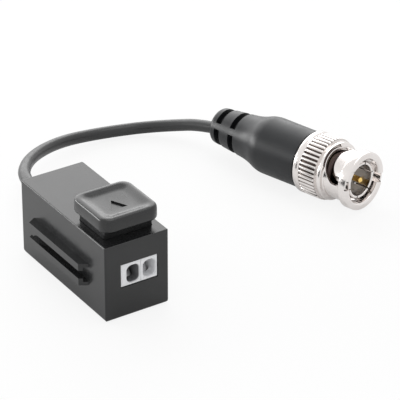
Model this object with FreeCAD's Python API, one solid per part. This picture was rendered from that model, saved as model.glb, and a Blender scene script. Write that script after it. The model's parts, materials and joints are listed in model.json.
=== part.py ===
"""Passive video balun: push terminals on a small box, and a short cable to a BNC plug.

Millimetres. Origin at the middle of the housing's underside, +Z up, the terminal face
toward -Y, the rail grooves on -X. The plug has its own axis frame, see in_plug_frame.
"""
import os
import math
import FreeCAD
import Part

V = FreeCAD.Vector
os.makedirs("parts", exist_ok=True)

# Housing
WIDTH, LENGTH, HEIGHT = 14.7, 33.2, 17.0
SIDE_WALL, FRONT_WALL, REAR_WALL, ROOF = 1.2, 1.2, 2.4, 1.2
EDGE_R, TOP_EDGE_R, BASE_EDGE_R, REAR_BASE_R, RIGHT_BASE_R = 0.35, 0.25, 0.7, 1.8, 1.15
IN_X = WIDTH / 2 - SIDE_WALL
IN_FRONT = -LENGTH / 2 + FRONT_WALL
IN_REAR = LENGTH / 2 - REAR_WALL
IN_TOP = HEIGHT - ROOF

# Side rails: a groove with lips on -X takes the T of the next unit's +X side
RAIL_OUT, RAIL_Z0, RAIL_Z1 = 1.7, 5.45, 10.4
RAIL_FRONT, RAIL_REAR, RAIL_SLANT = -LENGTH / 2 + 6.55, LENGTH / 2 - 4.95, 1.1
RAIL_LIP, RAIL_MOUTH, RAIL_WEB = 0.8, 1.8, 0.8
RAIL_MID = (RAIL_Z0 + RAIL_Z1) / 2
T_GAP = 0.12

# Base cover and board
COVER_T, COVER_GAP = 1.2, 0.05
BOARD_Z, BOARD_T = 3.2, 1.0
BOARD_TOP = BOARD_Z + BOARD_T
BOARD_X, BOARD_FRONT, BOARD_REAR = IN_X - 0.25, IN_FRONT + 0.2, IN_REAR - 3.2
POST_R, POST_X, POST_FRONT, POST_REAR = 1.1, BOARD_X - 1.3, BOARD_FRONT + 2.6, BOARD_REAR - 1.6
TAB_HALF, TAB_T, TAB_TOP, TAB_RIDGE = 2.2, 0.55, 3.1, 0.2

# Button
BUTTON_Y = -LENGTH / 2 + 7.95
STEM_X, STEM_Y, STEM_R = 11.2, 9.8, 0.5
STEM_GAP = 0.1
CAP_SIZE, CAP_R = 13.2, 2.3
CAP_LIFT, CAP_SIDE, CAP_CROWN = 2.1, 2.05, 0.9
CAP_Z0 = HEIGHT + CAP_LIFT
CAP_CREASE = CAP_Z0 + CAP_SIDE
CAP_TOP = CAP_CREASE + CAP_CROWN
DISH = 0.56
DISH_FLOOR = CAP_TOP - DISH
ARROW_TIP_Y, ARROW_L, ARROW_HALF, ARROW_DEPTH = BUTTON_Y + 1.25, 3.2, 1.8, 0.7
TRAVEL = 1.1
STEM_WALL, STEM_CEILING = 1.3, CAP_Z0 + 0.7
LUG_OUT, LUG_HALF = 0.35, 2.0

# Terminals: two modules side by side, the left one with a thick end wall
BLOCK_X0, BLOCK_X1, SEAM_X, SEAM_GAP = -4.7, 5.7, 0.95, 0.04
BLOCK_TOP, BLOCK_REAR = IN_TOP - 2.9, BUTTON_Y + 2.65
NOSE_X0, NOSE_X1, NOSE_H = -3.74, 4.80, 5.15
NOSE_Z1 = BLOCK_TOP - 0.75
NOSE_Z0 = NOSE_Z1 - NOSE_H
NOSE_FACE = -LENGTH / 2 + 0.15
NOSE_GAP, NOSE_EDGE = 0.06, 0.12
WAYS = {"left": -0.85, "right": 2.95}
ENTRY_W, ENTRY_H, ENTRY_R, ENTRY_Z = 2.8, 3.8, 1.05, NOSE_Z1 - 2.75
CHAMBER_W, CHAMBER_Y0 = 2.9, -LENGTH / 2 + 2.4
CHAMBER_Y1 = CHAMBER_Y0 + 7.0
CHAMBER_Z0, CHAMBER_Z1 = BOARD_TOP + 1.4, BLOCK_TOP - 1.5

# Contact strip and clamp spring of each way
STRIP_T = 0.4
STRIP_X0, STRIP_X1 = -1.3, 0.25
STRIP_Y0, STRIP_Y1, STRIP_Z1 = CHAMBER_Y0 + 0.4, CHAMBER_Y1 - 0.05, CHAMBER_Z1 - 0.02
LEG_X1, LEG_Z0 = -0.3, BOARD_Z - 0.8
LEAF_T, LEAF_W, LEAF_BEND = 0.25, 2.4, 1.0
LEAF_Y, LEAF_FOOT_Y = CHAMBER_Y0 + 1.3, CHAMBER_Y0 + 4.7
LEAF_RISE, LEAF_TIP_Z = 48.0, CHAMBER_Z1 - 0.62
FOOT_X0, FOOT_X1, FOOT_Y0 = 0.5, 1.15, CHAMBER_Y0 + 2.7
FOOT_Y1, FOOT_Z = FOOT_Y0 + 0.8, LEAF_TIP_Z + 0.14
FOOT_GAP = 0.12

# Return spring
COIL_R, COIL_WIRE, COIL_TURNS = 1.55, 0.2, 6
COIL_POCKET, COIL_TUBE = 2.1, 2.9
BOSS_R, BOSS_H = 0.85, 0.8

# Board parts
SUPPRESSOR_X, SUPPRESSOR_Y, SUPPRESSOR_W, SUPPRESSOR_L, SUPPRESSOR_H = -3.3, BOARD_REAR - 2.5, 4.2, 2.6, 2.1
CORE_X, CORE_Y = -0.4, (BLOCK_REAR + SUPPRESSOR_Y - SUPPRESSOR_L / 2) / 2
CORE_Z0, CORE_H, CORE_RI, CORE_RO = BOARD_TOP + 0.5, 3.6, 2.1, 4.2
WIND_T, WIND_GAP, WIND_ARC = 0.38, 0.03, 140
CHIP_X, CHIP_L, CHIP_W = 3.7, 2.0, 1.25

# Cable
CABLE_R = 1.35
CABLE_Z = 8.0
CABLE_HOLE_GAP = 0.08
CABLE_POINTS = [
    (0.0, BOARD_REAR, CABLE_Z), (0.0, LENGTH / 2 + 12.4, CABLE_Z), (6.94, 40.72, 6.0), (19.67, 49.45, 3.0),
    (32.44, 50.11, 1.5), (43.65, 45.78, 1.9), (51.27, 31.96, 6.27), (56.29, 12.93, 6.76),
]
COLLAR_RO, COLLAR_Y0, COLLAR_Y1 = 2.2, IN_REAR - 2.5, IN_REAR - 0.1

# Plug: distances run back from the mouth's rim along the plug's axis
PLUG_RIM = V(61.91, -8.34, 7.31)
PLUG_AXIS = V(0.2552, -0.9666, 0.025)
FLANGE_R, FLANGE_L = 6.45, 2.4
WAIST_R, WAIST_END = 5.6, 6.9
RING_R, KNURL_R, KNURL_START, KNURL_END = 6.5, 6.95, 8.6, 12.8
NUT_L = 14.5
NUT_BORE = 4.9
NUT_FLANGE_S0, NUT_FLANGE_S1 = 9.6, 11.0
RUN_GAP = 0.1
CONTACT_RO, CONTACT_RI, CONTACT_S, CONTACT_END = 4.15, 3.45, 0.95, 7.9
BODY_R, COLLAR_R = 4.2, 4.7
BODY_FACE, SEAT_GAP = 6.9, 0.02
BODY_BORE, BODY_END, NECK_END, NECK_R = 2.2, 15.0, 21.0, 1.9
NUT_REAR_BORE = 5.6
BOOT_NOSE_R, BOOT_FACE = 5.15, 14.9
GRIP_R, SHOULDER_S, SHOULDER_ARC, SHOULDER_TURN = 6.48, 25.4, 7.0, 21.5
WAIST_ARC, TAIL_TURN, BOOT_END, BOOT_EDGE = 17.0, 6.0, 41.0, 0.45
BOOT_SLOTS = ((34.2, 3.3), (38.6, 2.95))
SLOT_W, BRIDGE_W, BRIDGE_ANGLE = 1.4, 1.6, 27
BAYONET_PATH = ((12, 4.4), (25, 5.45), (40, 6.1), (60, 6.4), (80, 6.4), (95, 6.0), (103, 5.7))
BAYONET_R, KEYWAY_R, KEYWAY_LIP = 1.05, 6.0, 0.45
SLIT_COUNT, SLIT_ANGLE = 6, 50


def box(x0, x1, y0, y1, z0, z1):
    return Part.makeBox(x1 - x0, y1 - y0, z1 - z0, V(x0, y0, z0))


def rod(r, a, b):
    a, b = V(*a), V(*b)
    return Part.makeCylinder(r, (b - a).Length, a, b - a)


def round_rect(wx, wy, r):
    """Closed outline about the origin, in the XY plane."""
    hx, hy = wx / 2, wy / 2
    k = r * (1 - math.sqrt(0.5))
    e = []
    for sx, sy, ex, ey in ((1, -1, 1, 1), (1, 1, -1, 1), (-1, 1, -1, -1), (-1, -1, 1, -1)):
        along_y = sx == ex
        if along_y:
            p, q = V(sx * hx, sy * (hy - r), 0), V(ex * hx, ey * (hy - r), 0)
            arc = (V(ex * hx, ey * (hy - r), 0), V(ex * (hx - k), ey * (hy - k), 0),
                   V(ex * (hx - r), ey * hy, 0))
        else:
            p, q = V(sx * (hx - r), sy * hy, 0), V(ex * (hx - r), ey * hy, 0)
            arc = (V(ex * (hx - r), ey * hy, 0), V(ex * (hx - k), ey * (hy - k), 0),
                   V(ex * hx, ey * (hy - r), 0))
        e.append(Part.LineSegment(p, q).toShape())
        e.append(Part.Arc(*arc).toShape())
    return Part.Wire(e)


def rect_at(x, y, z, wx, wy, r):
    w = round_rect(wx, wy, r)
    w.translate(V(x, y, z))
    return w


def prism(x, y, z0, z1, wx, wy, r):
    return Part.Face(rect_at(x, y, z0, wx, wy, r)).extrude(V(0, 0, z1 - z0))


def polygon_x(points, x0, x1):
    """Prism along X from (y, z) points."""
    w = Part.makePolygon([V(x0, y, z) for y, z in points] + [V(x0, *points[0])])
    return Part.Face(w).extrude(V(x1 - x0, 0, 0))


def polygon_z(points, z0, z1):
    w = Part.makePolygon([V(x, y, z0) for x, y in points] + [V(*points[0], z0)])
    return Part.Face(w).extrude(V(0, 0, z1 - z0))


def turned(points, angle=360):
    """Solid of revolution about the local Z axis from (radius, distance back) points."""
    p = [V(r, 0, -s) for r, s in points]
    return Part.Face(Part.makePolygon(p + [p[0]])).revolve(V(0, 0, 0), V(0, 0, 1), angle)


def in_plug_frame(shape):
    """From local axes (Z to the mouth, X level to the left, origin at the rim) to the part's."""
    z = V(PLUG_AXIS)
    z.normalize()
    x = z.cross(V(0, 0, 1))
    x.normalize()
    y = z.cross(x)
    m = FreeCAD.Matrix(x.x, y.x, z.x, PLUG_RIM.x, x.y, y.y, z.y, PLUG_RIM.y,
                       x.z, y.z, z.z, PLUG_RIM.z, 0, 0, 0, 1)
    out = shape.copy()
    out.Placement = FreeCAD.Placement(m)
    return out


def radial(angle, r0, r1, s, radius):
    """Radial pin in the plug's local axes; the angle is counted from level-left to up."""
    a = -math.radians(angle)
    d = V(math.cos(a), math.sin(a), 0)
    return Part.makeCylinder(radius, r1 - r0, V(0, 0, -s) + d * r0, d)


def spun(shape, angle):
    out = shape.copy()
    out.rotate(V(0, 0, 0), V(0, 0, 1), -angle)
    return out


def filleted_path(points):
    """Wire of straight runs and tangent arcs, 0.45 of the shorter run on each side."""
    p = [V(*q) for q in points]
    runs = [(p[i + 1] - p[i]).Length for i in range(len(p) - 1)]
    edges, start = [], p[0]
    for i in range(1, len(p) - 1):
        u = (p[i] - p[i - 1]).normalize()
        w = (p[i + 1] - p[i]).normalize()
        t = 0.45 * min(runs[i - 1], runs[i])
        turn = u.getAngle(w)
        r = t / math.tan(turn / 2)
        a, b = p[i] - u * t, p[i] + w * t
        bis = (w - u).normalize()
        centre = p[i] + bis * math.hypot(r, t)
        edges.append(Part.LineSegment(start, a).toShape())
        edges.append(Part.Arc(a, centre - bis * r, b).toShape())
        start = b
        print("cable corner %d: turn %.1f deg, radius %.1f mm" % (i, math.degrees(turn), r))
    edges.append(Part.LineSegment(start, p[-1]).toShape())
    return Part.Wire(edges)


def swept(wire, radius):
    e = wire.Edges[0]
    start = e.valueAt(e.FirstParameter)
    ring = Part.Wire(Part.makeCircle(radius, start, e.tangentAt(e.FirstParameter)))
    return wire.makePipeShell([ring], True, False)


def stack(x, y, sections):
    """Smooth solid through rounded squares (height, size, corner radius)."""
    return Part.makeLoft([rect_at(x, y, z, w, w, r) for z, w, r in sections], True, False)


def housing():
    half_x, half_y = WIDTH / 2, LENGTH / 2
    side = box(-half_x, half_x, -half_y, half_y, 0, HEIGHT)

    def edges(test):
        return [e for e in side.Edges if test(e.BoundBox)]

    side = side.makeFillet(EDGE_R, edges(lambda b: b.ZLength > HEIGHT / 2))
    side = side.makeFillet(TOP_EDGE_R, edges(lambda b: b.ZMin > HEIGHT - 0.01))
    low = box(-half_x, half_x, -LENGTH, half_y, 0, HEIGHT * 2)
    low = low.makeFillet(REAR_BASE_R, [e for e in low.Edges if e.BoundBox.ZMax < 0.01
                                       and e.BoundBox.YMin > half_y - 0.01])
    base = box(-half_x, WIDTH, -half_y, LENGTH, 0, HEIGHT * 2)
    base = base.makeFillet(BASE_EDGE_R, [e for e in base.Edges if e.BoundBox.ZMax < 0.01
                                         and (e.BoundBox.YMax < 0 or e.BoundBox.XMax < 0)])
    right = box(-WIDTH, half_x, -LENGTH, LENGTH, 0, HEIGHT * 2)
    right = right.makeFillet(RIGHT_BASE_R, [e for e in right.Edges if e.BoundBox.ZMax < 0.01
                                            and e.BoundBox.XMin > 0])
    s = side.common(low).common(base).common(right)
    s = s.cut(box(-IN_X, IN_X, IN_FRONT, IN_REAR, -1, IN_TOP))
    gap = 2 * STEM_GAP
    s = s.cut(prism(0, BUTTON_Y, IN_TOP - 1, HEIGHT + 1, STEM_X + gap, STEM_Y + gap, STEM_R + STEM_GAP))
    s = s.cut(box(NOSE_X0 - NOSE_GAP, NOSE_X1 + NOSE_GAP, -half_y - 1, IN_FRONT + 1,
                  NOSE_Z0 - NOSE_GAP, NOSE_Z1 + NOSE_GAP))
    s = s.cut(rod(CABLE_R + CABLE_HOLE_GAP, (0, IN_REAR - 1, CABLE_Z), (0, half_y + 1, CABLE_Z)))
    for sign in (-1, 1):
        x0, x1 = sorted((sign * (IN_X - 0.1), sign * (IN_X + TAB_RIDGE + 0.1)))
        s = s.cut(box(x0, x1, -TAB_HALF - 0.1, TAB_HALF + 0.1, TAB_TOP - 0.95, TAB_TOP - 0.3))

    wall, out = -half_x, -half_x - RAIL_OUT
    bars = polygon_z([(wall + 0.3, RAIL_FRONT), (wall, RAIL_FRONT), (out, RAIL_FRONT + RAIL_SLANT),
                      (out, RAIL_REAR - RAIL_SLANT), (wall, RAIL_REAR), (wall + 0.3, RAIL_REAR)],
                     RAIL_Z0, RAIL_Z1)
    bars = bars.cut(box(out - 1, out + RAIL_LIP, -LENGTH, LENGTH,
                        RAIL_MID - RAIL_MOUTH / 2, RAIL_MID + RAIL_MOUTH / 2))
    bars = bars.cut(box(out + RAIL_LIP - 0.01, wall, -LENGTH, LENGTH, RAIL_Z0 + RAIL_WEB, RAIL_Z1 - RAIL_WEB))
    tee_neck = RAIL_MOUTH / 2 - T_GAP
    tee_head = (RAIL_Z1 - RAIL_Z0) / 2 - RAIL_WEB - T_GAP
    neck_out = half_x + RAIL_LIP + T_GAP
    tee = box(half_x - 0.3, neck_out, RAIL_FRONT + RAIL_SLANT, RAIL_REAR - RAIL_SLANT,
              RAIL_MID - tee_neck, RAIL_MID + tee_neck)
    tee = tee.fuse(box(neck_out, half_x + RAIL_OUT - T_GAP, RAIL_FRONT + RAIL_SLANT,
                       RAIL_REAR - RAIL_SLANT, RAIL_MID - tee_head, RAIL_MID + tee_head))
    return s.fuse(bars).fuse(tee).removeSplitter()


def base_cover():
    s = box(-IN_X + COVER_GAP, IN_X - COVER_GAP, IN_FRONT + COVER_GAP, IN_REAR - COVER_GAP, 0, COVER_T)
    for x in (-POST_X, POST_X):
        for y in (POST_FRONT, POST_REAR):
            s = s.fuse(rod(POST_R, (x, y, COVER_T - 0.1), (x, y, BOARD_Z)))
    for sign in (-1, 1):
        x0, x1 = sorted((sign * (IN_X - COVER_GAP - TAB_T), sign * (IN_X - COVER_GAP)))
        s = s.fuse(box(x0, x1, -TAB_HALF, TAB_HALF, COVER_T - 0.1, TAB_TOP))
        ridge = [(IN_X - COVER_GAP - 0.1, TAB_TOP - 0.9), (IN_X + TAB_RIDGE, TAB_TOP - 0.6),
                 (IN_X - COVER_GAP - 0.1, TAB_TOP - 0.35)]
        w = Part.makePolygon([V(sign * x, -TAB_HALF, z) for x, z in ridge + ridge[:1]])
        s = s.fuse(Part.Face(w).extrude(V(0, 2 * TAB_HALF, 0)))
    return s.removeSplitter()


def button():
    y = BUTTON_Y
    c, r = CAP_SIZE, CAP_R
    cap = stack(0, y, [(CAP_Z0, c - 0.4, r - 0.2), (CAP_Z0 + 0.25, c - 0.12, r - 0.06),
                       (CAP_CREASE - 0.6, c, r)])
    cap = cap.fuse(Part.makeLoft([rect_at(0, y, z, c, c, r) for z in (CAP_CREASE - 0.6, CAP_CREASE)],
                                 True, True))
    crown = ((0, 0), (0.37, 0.2), (0.68, 0.52), (0.9, 0.95), (1, 1.4))
    cap = cap.fuse(stack(0, y, [(CAP_CREASE + f * CAP_CROWN, c - w, r - w / 2) for f, w in crown]))
    slope = ((0, 4.8), (0.09, 4.1), (0.36, 3.1), (0.71, 2.2), (1, 1.6))
    cap = cap.cut(stack(0, y, [(DISH_FLOOR + f * DISH, c - w, r - w / 4) for f, w in slope])
                  .fuse(prism(0, y, CAP_TOP, CAP_TOP + 1, c - 1.6, c - 1.6, r - 0.4)))
    tip, foot = ARROW_TIP_Y, ARROW_TIP_Y - ARROW_L
    arrow = polygon_z([(0, tip), (-ARROW_HALF, foot), (ARROW_HALF, foot)], DISH_FLOOR - ARROW_DEPTH, CAP_TOP)
    ramp = polygon_x([(foot, DISH_FLOOR - 0.02), (tip, DISH_FLOOR - ARROW_DEPTH), (tip, CAP_TOP),
                      (foot, CAP_TOP)], -ARROW_HALF, ARROW_HALF)
    cap = cap.cut(arrow.common(ramp))

    bottom = BLOCK_TOP + TRAVEL + 0.2
    s = prism(0, y, bottom, CAP_Z0 + 0.05, STEM_X, STEM_Y, STEM_R)
    s = s.fuse(cap)
    core = prism(0, y, bottom - 1, STEM_CEILING, STEM_X - 2 * STEM_WALL, STEM_Y - 2 * STEM_WALL, 0.4)
    core = core.cut(rod(COIL_TUBE, (0, y, bottom - 2), (0, y, STEM_CEILING + 1)))
    core = core.cut(box(-STEM_X, STEM_X, FOOT_Y0 - 0.3, FOOT_Y1 + 0.2, bottom - 2, STEM_CEILING + 1))
    s = s.cut(core).cut(rod(COIL_POCKET, (0, y, bottom - 1), (0, y, STEM_CEILING)))
    for x in WAYS.values():
        s = s.fuse(box(x + FOOT_X0, x + FOOT_X1, FOOT_Y0, FOOT_Y1, FOOT_Z, bottom + 0.5))
    for sign in (-1, 1):
        x0, x1 = sorted((sign * (STEM_X / 2 - 0.2), sign * (STEM_X / 2 + LUG_OUT)))
        s = s.fuse(box(x0, x1, y - LUG_HALF, y + LUG_HALF, bottom + 0.1, IN_TOP - 0.04))
    return s.removeSplitter()


def return_spring():
    z0, z1 = BLOCK_TOP + COIL_WIRE + 0.02, STEM_CEILING - COIL_WIRE - 0.02
    helix = Part.makeHelix((z1 - z0) / COIL_TURNS, z1 - z0, COIL_R)
    s = swept(Part.Wire(helix.Edges), COIL_WIRE)
    s.translate(V(0, BUTTON_Y, z0))
    return s


def entry_outline(x, y, grow=0.0):
    w = round_rect(ENTRY_W + 2 * grow, ENTRY_H + 2 * grow, ENTRY_R + grow)
    w.rotate(V(0, 0, 0), V(1, 0, 0), 90)
    w.translate(V(x, y, ENTRY_Z))
    return w


def terminal(x0, x1, nose_x0, nose_x1, x):
    """One module: its body between x0 and x1, with the entry and the spring's chamber at x."""
    s = box(x0, x1, IN_FRONT + 0.05, BLOCK_REAR, BOARD_TOP + 0.02, BLOCK_TOP)
    nose = box(nose_x0, nose_x1, NOSE_FACE, IN_FRONT + 0.1, NOSE_Z0, NOSE_Z1)
    s = s.fuse(nose.makeChamfer(NOSE_EDGE, [e for e in nose.Edges if e.BoundBox.YMax < NOSE_FACE + 0.01]))
    if x0 < 0 < x1:
        s = s.fuse(rod(BOSS_R, (0, BUTTON_Y, BLOCK_TOP - 0.1), (0, BUTTON_Y, BLOCK_TOP + BOSS_H)))
    s = s.cut(box(x - CHAMBER_W / 2, x + CHAMBER_W / 2, CHAMBER_Y0, CHAMBER_Y1, CHAMBER_Z0, CHAMBER_Z1))
    s = s.cut(Part.Face(entry_outline(x, CHAMBER_Y0 + 0.1)).extrude(V(0, -5, 0)))
    s = s.cut(Part.makeLoft([entry_outline(x, NOSE_FACE - 0.02, 0.16),
                             entry_outline(x, NOSE_FACE + 0.3)], True, True))
    s = s.cut(box(x + FOOT_X0 - FOOT_GAP, x + FOOT_X1 + FOOT_GAP, FOOT_Y0 - FOOT_GAP,
                  FOOT_Y1 + FOOT_GAP, CHAMBER_Z1 - 0.1, BLOCK_TOP + 1))
    s = s.cut(box(x + STRIP_X0 - 0.05, x + LEG_X1 + 0.05, STRIP_Y1 - STRIP_T - 0.05,
                  STRIP_Y1 + 0.05, BOARD_TOP - 1, CHAMBER_Z0 + 0.1))
    return s.removeSplitter()


def contact(x):
    s = box(x + STRIP_X0, x + STRIP_X1, STRIP_Y0, STRIP_Y1, STRIP_Z1 - STRIP_T, STRIP_Z1)
    s = s.fuse(box(x + STRIP_X0, x + LEG_X1, STRIP_Y1 - STRIP_T, STRIP_Y1, LEG_Z0, STRIP_Z1 - 0.1))
    return s.removeSplitter()


def clamp_spring(x):
    """Strip bent at the front: a foot on the chamber floor and a tongue that rises rearward."""
    t, r = LEAF_T / 2, LEAF_BEND
    cz = CHAMBER_Z0 + 0.02 + t + r
    a = math.radians(90 + LEAF_RISE)
    d = (math.cos(math.radians(LEAF_RISE)), math.sin(math.radians(LEAF_RISE)))
    run = (LEAF_TIP_Z - (cz + r * math.sin(a))) / d[1]

    def at(ang, rad):
        return V(0, LEAF_Y + rad * math.cos(ang), cz + rad * math.sin(ang))

    def side(rad):
        top = at(a, rad)
        return top, top + V(0, d[0], d[1]) * run

    mid = (a + math.radians(270)) / 2
    lo, li = V(0, LEAF_FOOT_Y, cz - r - t), V(0, LEAF_FOOT_Y, cz - r + t)
    oo, oi = side(r + t), side(r - t)
    e = [Part.LineSegment(lo, at(math.radians(270), r + t)).toShape(),
         Part.Arc(at(math.radians(270), r + t), at(mid, r + t), oo[0]).toShape(),
         Part.LineSegment(*oo).toShape(), Part.LineSegment(oo[1], oi[1]).toShape(),
         Part.LineSegment(oi[1], oi[0]).toShape(),
         Part.Arc(oi[0], at(mid, r - t), at(math.radians(270), r - t)).toShape(),
         Part.LineSegment(at(math.radians(270), r - t), li).toShape(), Part.LineSegment(li, lo).toShape()]
    s = Part.Face(Part.Wire(e)).extrude(V(LEAF_W, 0, 0))
    s.translate(V(x - LEAF_W / 2, 0, 0))
    return s


def circuit_board():
    s = box(-BOARD_X, BOARD_X, BOARD_FRONT, BOARD_REAR, BOARD_Z, BOARD_TOP)
    for x in WAYS.values():
        s = s.cut(box(x + STRIP_X0 - 0.05, x + LEG_X1 + 0.05, STRIP_Y1 - STRIP_T - 0.05,
                      STRIP_Y1 + 0.05, BOARD_Z - 1, BOARD_TOP + 1))
    return s


def ring_sector(ri, ro, z0, z1, start, angle):
    w = Part.makePolygon([V(ri, 0, z0), V(ro, 0, z0), V(ro, 0, z1), V(ri, 0, z1), V(ri, 0, z0)])
    s = Part.Face(w).revolve(V(0, 0, 0), V(0, 0, 1), angle)
    s.rotate(V(0, 0, 0), V(0, 0, 1), start)
    s.translate(V(CORE_X, CORE_Y, 0))
    return s


def winding(start):
    g, t = WIND_GAP, WIND_GAP + WIND_T
    top = CORE_Z0 + CORE_H
    s = ring_sector(CORE_RI - t, CORE_RO + t, CORE_Z0 - t, top + t, start, WIND_ARC)
    return s.cut(ring_sector(CORE_RI - g, CORE_RO + g, CORE_Z0 - g, top + g, start - 5, WIND_ARC + 10))


def surge_suppressor():
    x, y, z = SUPPRESSOR_X, SUPPRESSOR_Y, BOARD_TOP + 0.02
    s = prism(x, y, z + 0.15, z + SUPPRESSOR_H, SUPPRESSOR_W, SUPPRESSOR_L, 0.15)
    for sign in (-1, 1):
        x0, x1 = sorted((x + sign * 1.3, x + sign * 2.5))
        s = s.fuse(box(x0, x1, y - 0.75, y + 0.75, z, z + 0.2))
        x0, x1 = sorted((x + sign * 2.0, x + sign * 2.5))
        s = s.fuse(box(x0, x1, y - 0.75, y + 0.75, z, z + 1.2))
    return s.removeSplitter()


def chip(y, h):
    z = BOARD_TOP + 0.02
    return prism(CHIP_X, y, z, z + h, CHIP_L, CHIP_W, 0.08)


def lead(points, radius):
    """Wire from the jacket's end down onto the board."""
    curve = Part.BSplineCurve()
    curve.interpolate([V(*p) for p in points])
    s = swept(Part.Wire(curve.toShape()), radius)
    return s.cut(box(-5, 5, 0, 15, 0, BOARD_TOP + 0.02))


def bend(start, angle0, angle1, radius):
    """Arc in the boot's outline from start; angles are the outline's slope to the axis. Returns arc, end."""
    a0, a1 = math.radians(angle0), math.radians(angle1)
    side = math.copysign(radius, angle1 - angle0)

    def at(a):
        return start + V(side * (math.cos(a) - math.cos(a0)), 0, -side * (math.sin(a) - math.sin(a0)))

    return Part.Arc(start, at((a0 + a1) / 2), at(a1)).toShape(), at(a1)


def boot(cable_wire):
    """Grip, shoulder arc, waist arc and straight tail, in one turned outline."""
    p = [V(BOOT_NOSE_R, 0, -NUT_L + 2.2), V(BOOT_NOSE_R, 0, -BOOT_FACE), V(GRIP_R - 0.33, 0, -BOOT_FACE),
         V(GRIP_R - 0.08, 0, -BOOT_FACE - 0.25), V(GRIP_R, 0, -SHOULDER_S)]
    shoulder, q = bend(p[-1], 0, SHOULDER_TURN, SHOULDER_ARC)
    waist, q2 = bend(q, SHOULDER_TURN, TAIL_TURN, WAIST_ARC)
    tail = V(q2.x - (BOOT_END - BOOT_EDGE + q2.z) * math.tan(math.radians(TAIL_TURN)), 0, -BOOT_END + BOOT_EDGE)
    rear = [q2, tail, V(tail.x - BOOT_EDGE, 0, -BOOT_END), V(0, 0, -BOOT_END), V(0, 0, p[0].z), p[0]]
    print("boot: waist from %.1f to %.1f back, tail radius %.2f" % (-q.z, -q2.z, tail.x))

    def lines(points):
        return [Part.LineSegment(a, b).toShape() for a, b in zip(points, points[1:])]

    s = Part.Face(Part.Wire(lines(p) + [shoulder, waist] + lines(rear))).revolve(V(0, 0, 0), V(0, 0, 1), 360)
    s = s.cut(turned([(0, 0), (BODY_R + 0.02, 0), (BODY_R + 0.02, BODY_END + 0.1),
                      (2.42, BODY_END + 0.1), (2.42, 22.0), (0, 22.0)]))
    for at, inner in BOOT_SLOTS:
        near, far = at - SLOT_W / 2, at + SLOT_W / 2
        ring = turned([(inner, near), (9, near), (9, far), (inner, far)])
        bridge = box(-10, 10, -BRIDGE_W / 2, BRIDGE_W / 2, -at - SLOT_W, -at + SLOT_W)
        s = s.cut(ring.cut(spun(bridge, BRIDGE_ANGLE)))
    return in_plug_frame(s).cut(swept(cable_wire, CABLE_R + 0.02))


def coupling_nut():
    outer = [(NUT_BORE + 0.35, 0), (FLANGE_R - 0.3, 0), (FLANGE_R, 0.3), (FLANGE_R, FLANGE_L - 0.3),
             (FLANGE_R - 0.3, FLANGE_L), (WAIST_R + 0.2, FLANGE_L + 0.1), (WAIST_R, FLANGE_L + 0.4),
             (WAIST_R, WAIST_END), (WAIST_R + 0.3, WAIST_END + 0.25), (RING_R - 0.15, WAIST_END + 0.3),
             (RING_R, WAIST_END + 0.5), (RING_R, 8.0), (RING_R - 0.2, 8.2), (RING_R - 0.2, 8.4),
             (KNURL_R - 0.1, KNURL_START), (KNURL_R, KNURL_START + 0.15), (KNURL_R, KNURL_END - 0.15),
             (KNURL_R - 0.25, KNURL_END), (KNURL_R - 0.25, KNURL_END + 0.2), (KNURL_R, KNURL_END + 0.4),
             (KNURL_R, NUT_L - 0.3), (KNURL_R - 0.3, NUT_L)]
    inner = [(NUT_REAR_BORE, NUT_L), (NUT_REAR_BORE, NUT_FLANGE_S1), (BODY_R + RUN_GAP, NUT_FLANGE_S1),
             (BODY_R + RUN_GAP, NUT_FLANGE_S0), (NUT_BORE, NUT_FLANGE_S0), (NUT_BORE, 0.35)]
    s = turned(outer + inner)
    count = 44
    tool = Part.makePolygon([V(KNURL_R - 0.32, 0, 0), V(KNURL_R + 0.2, -0.36, 0), V(KNURL_R + 0.2, 0.36, 0),
                             V(KNURL_R - 0.32, 0, 0)])
    tool = Part.Face(tool).extrude(V(0, 0, KNURL_END - KNURL_START + 0.1))
    tool.translate(V(0, 0, -KNURL_END + 0.02))
    s = s.cut(Part.makeCompound([spun(tool, k * 360.0 / count) for k in range(count)]))
    path, steps = [], 3
    for (a0, s0), (a1, s1) in zip(BAYONET_PATH, BAYONET_PATH[1:]):
        path += [(a0 + (a1 - a0) * k / steps, s0 + (s1 - s0) * k / steps) for k in range(steps)]
    path.append(BAYONET_PATH[-1])
    r, key_s = BAYONET_R, BAYONET_PATH[0][1]
    for half_turn in (0, 180):
        for angle, at in path:
            s = s.cut(radial(angle + half_turn, NUT_BORE - 0.5, RING_R + 0.5, at, r))
        key = box(NUT_BORE - 1, KEYWAY_R, -r, r, -key_s, 1)
        key = key.fuse(box(NUT_BORE - 1, KNURL_R + 1, -r, r, -KEYWAY_LIP, 1))
        s = s.cut(spun(key, path[0][0] + half_turn))
    return in_plug_frame(s)


def outer_contact():
    s = turned([(CONTACT_RI + 0.15, CONTACT_S), (CONTACT_RO - 0.2, CONTACT_S), (CONTACT_RO, CONTACT_S + 0.3),
                (CONTACT_RO, CONTACT_END), (CONTACT_RI, CONTACT_END), (CONTACT_RI, CONTACT_S + 0.15)])
    for k in range(SLIT_COUNT):
        slit = box(CONTACT_RI - 1, CONTACT_RO + 1, -0.15, 0.15, -5.0, 0)
        s = s.cut(spun(slit, SLIT_ANGLE + k * 360.0 / SLIT_COUNT))
    return in_plug_frame(s)


def plug_body():
    seat, groove = CONTACT_RO + SEAT_GAP, (11.1, 11.75)
    return in_plug_frame(turned([
        (seat, BODY_FACE), (COLLAR_R, BODY_FACE), (COLLAR_R, 8.3), (BODY_R, 8.3), (BODY_R, groove[0]),
        (BODY_R - 0.35, groove[0]), (BODY_R - 0.35, groove[1]), (BODY_R, groove[1]),
        (BODY_R, BODY_END), (NECK_R, BODY_END), (NECK_R, NECK_END), (1.2, NECK_END),
        (1.2, 14.3), (BODY_BORE, 14.3), (BODY_BORE, CONTACT_END + SEAT_GAP), (seat, CONTACT_END + SEAT_GAP)]))


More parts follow.
